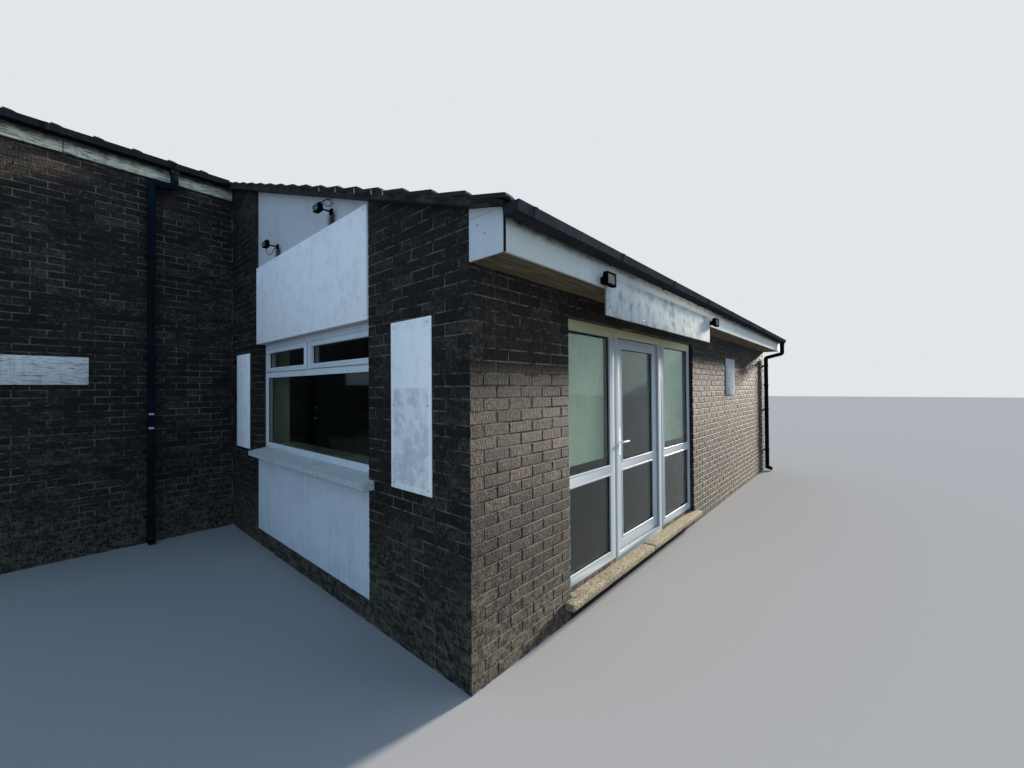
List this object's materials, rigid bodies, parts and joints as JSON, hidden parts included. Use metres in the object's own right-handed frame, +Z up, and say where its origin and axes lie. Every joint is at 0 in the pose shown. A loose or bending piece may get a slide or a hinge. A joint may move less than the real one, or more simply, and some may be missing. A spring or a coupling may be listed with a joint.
{
  "type": "corner shop building",
  "caption": "Brick corner shop under a tiled roof that runs down from a taller block, with a glazed shop front, a hinged door and a gable window.",
  "frame": {"origin": "on the ground below the middle of the shop wing", "axes": "+X along the shop front, +Y from the shop front into the building, +Z up"},
  "size_m": [11.075, 10.427, 5.4563],
  "materials": {
    "brick": "rough fired clay brick with pale mortar joints",
    "concrete": "weathered cast concrete",
    "painted_panel": "painted render, streaked",
    "roof_tile": "interlocking concrete tile",
    "white_paint": "weathered gloss paint on timber",
    "soffit_board": "varnished tongue and groove board",
    "gutter_plastic": "dull dark gutter plastic",
    "pipe_plastic": "dull dark pipe plastic",
    "sign_face": "bare white sign board",
    "faded_paint": "faded flaking paint on board",
    "lamp_black": "black die cast housing",
    "white_frame": "white window plastic",
    "glass": "clear double glazing",
    "white_metal": "white powder coat"
  },
  "bodies": {
    "building": {"front_wall_left": "brick", "front_wall_right": "brick", "front_wall_over_shopfront": "brick", "front_wall_under_shopfront": "brick", "gable_wall_corner": "brick", "gable_wall_inner": "brick", "gable_plinth": "brick", "left_front_wall": "brick", "left_party_wall": "brick", "rear_wall": "brick", "right_gable_wall": "brick", "floor_slab_shop": "concrete", "floor_slab_main": "concrete", "threshold_step": "concrete", "window_sill": "concrete", "gable_panel_lower": "painted_panel", "gable_panel_upper": "painted_panel", "roof_shop": "roof_tile", "roof_main_front": "roof_tile", "roof_main_rear": "roof_tile", "ridge_tiles": "roof_tile", "front_fascia": "white_paint", "eave_box_ends": "white_paint", "left_fascia": "white_paint", "rear_fascia": "white_paint", "front_soffit": "soffit_board", "front_gutter": "gutter_plastic", "left_gutter": "gutter_plastic", "rear_gutter": "gutter_plastic", "front_downpipe": "pipe_plastic", "left_downpipe": "pipe_plastic", "rear_downpipe": "pipe_plastic", "fascia_sign": "sign_face", "gable_sign": "sign_face", "specials_board": "sign_face", "narrow_board": "sign_face", "wall_plaque": "sign_face", "faded_board": "faded_paint", "gable_floodlights": "lamp_black", "fascia_floodlights": "lamp_black", "window_frame": "white_frame", "window_sashes": "white_frame", "shopfront_left_light": "white_frame", "shopfront_right_light": "white_frame", "door_frame": "white_frame", "window_glass": "glass", "shopfront_glass": "glass", "hinge_frame_leaves": "white_metal"},
    "door": {"door_leaf": "white_frame", "door_glass": "glass", "hinge_door_leaves": "white_metal", "door_handle": "white_metal"}
  },
  "joints": [
    {"name": "door_hinge", "type": "hinge", "parent": "building", "child": "door", "pos_m": [-1.3665, -2.108, 1.2], "axis": [0, 0, -1], "range_deg": [0, 90]}
  ]
}
